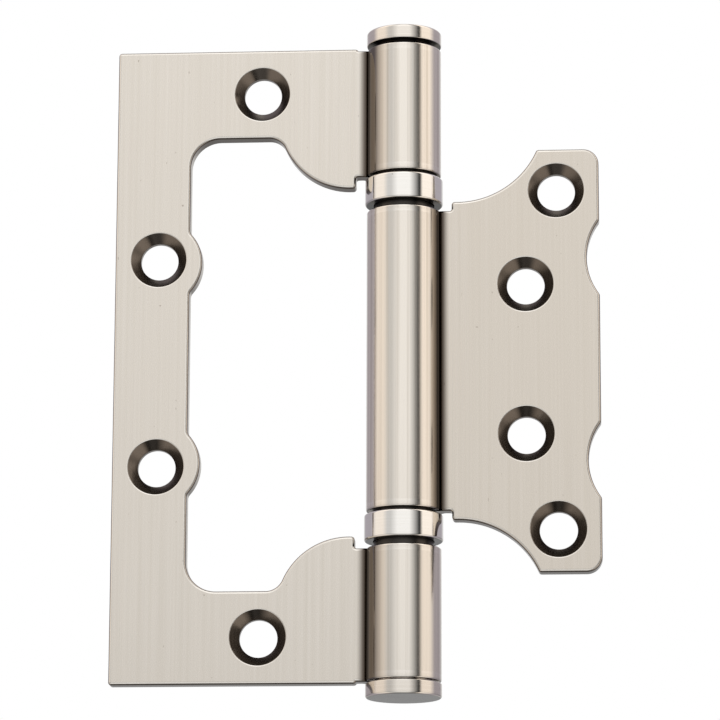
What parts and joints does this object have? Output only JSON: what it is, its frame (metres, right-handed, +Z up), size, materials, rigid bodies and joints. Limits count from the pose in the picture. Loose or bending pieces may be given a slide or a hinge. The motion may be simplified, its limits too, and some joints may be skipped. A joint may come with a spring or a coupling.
{
  "type": "door hinge",
  "caption": "Flush door hinge: a C-shaped frame leaf with a window, a door leaf that folds into it, a rolled barrel with pin and two ball bearings.",
  "frame": {"origin": "on the frame leaf's back face, half-way up, on the line of its two web screws", "axes": "+Z up along the pin, +X from the frame leaf towards the door leaf, +Y into the door frame behind the leaves"},
  "size_m": [0.075, 0.0121, 0.1047],
  "materials": {
    "leaf_steel": "satin nickel, fine vertical brushing",
    "pin_steel": "satin nickel, turned",
    "bearing_shell": "bright nickel",
    "bearing_race": "ground hardened steel",
    "cage": "plain",
    "ball_steel": "polished"
  },
  "bodies": {
    "frame": {"frame_leaf": "leaf_steel", "hinge_pin": "pin_steel", "bottom_cap": "pin_steel", "upper_bearing_shell": "bearing_shell", "upper_top_race": "bearing_race", "lower_bottom_race": "bearing_race"},
    "door": {"door_leaf": "leaf_steel", "upper_bottom_race": "bearing_race", "lower_bearing_shell": "bearing_shell", "lower_top_race": "bearing_race"},
    "upper_balls": {"upper_ball_cage": "cage", "upper_ball_1": "ball_steel", "upper_ball_2": "ball_steel", "upper_ball_3": "ball_steel", "upper_ball_4": "ball_steel", "upper_ball_5": "ball_steel", "upper_ball_6": "ball_steel", "upper_ball_7": "ball_steel", "upper_ball_8": "ball_steel"},
    "lower_balls": {"lower_ball_cage": "cage", "lower_ball_1": "ball_steel", "lower_ball_2": "ball_steel", "lower_ball_3": "ball_steel", "lower_ball_4": "ball_steel", "lower_ball_5": "ball_steel", "lower_ball_6": "ball_steel", "lower_ball_7": "ball_steel", "lower_ball_8": "ball_steel"}
  },
  "joints": [
    {"name": "door_swing", "type": "hinge", "parent": "frame", "child": "door", "pos_m": [0.03803, -0.00125, 0], "axis": [0, 0, 1], "range_deg": [-180, 90]},
    {"name": "upper_ball_roll", "type": "hinge", "parent": "frame", "child": "upper_balls", "pos_m": [0.03803, -0.00125, 0.0264], "axis": [0, 0, 1], "range_deg": [-90, 45]},
    {"name": "lower_ball_roll", "type": "hinge", "parent": "frame", "child": "lower_balls", "pos_m": [0.03803, -0.00125, -0.0264], "axis": [0, 0, 1], "range_deg": [-90, 45]}
  ],
  "couplings": [
    {"joint": "upper_ball_roll", "follows": "door_swing", "ratio": 0.5},
    {"joint": "lower_ball_roll", "follows": "door_swing", "ratio": 0.5}
  ]
}
